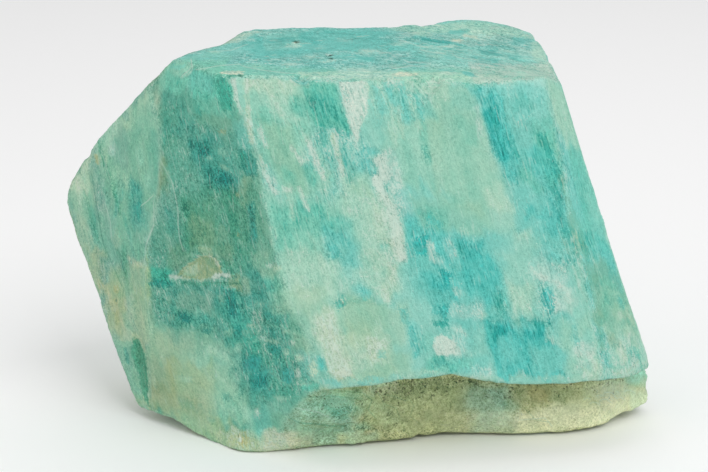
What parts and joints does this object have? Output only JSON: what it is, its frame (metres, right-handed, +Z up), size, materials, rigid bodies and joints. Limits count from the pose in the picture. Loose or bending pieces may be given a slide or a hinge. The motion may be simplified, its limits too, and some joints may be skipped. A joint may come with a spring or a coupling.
{
  "type": "rough amazonite",
  "caption": "Rough amazonite, a blocky leaning crystal with a level cleavage top, streaky green-blue faces and a set-back broken foot. Rests on a flat spot.",
  "frame": {"origin": "bottom centre of the bounding box, in the plane the stone rests on", "axes": "+X to the right along the broad front face, the longest side; +Y away from the front face, the shortest side; +Z up, out of the level cleavage face"},
  "size_m": [0.067, 0.0366, 0.0434],
  "materials": {
    "amazonite": "opaque sea-green feldspar, pale streaks and clouds, waxy satin faces, sugary tan-green break"
  },
  "bodies": {
    "root": {"amazonite_crystal": "amazonite"}
  },
  "joints": []
}
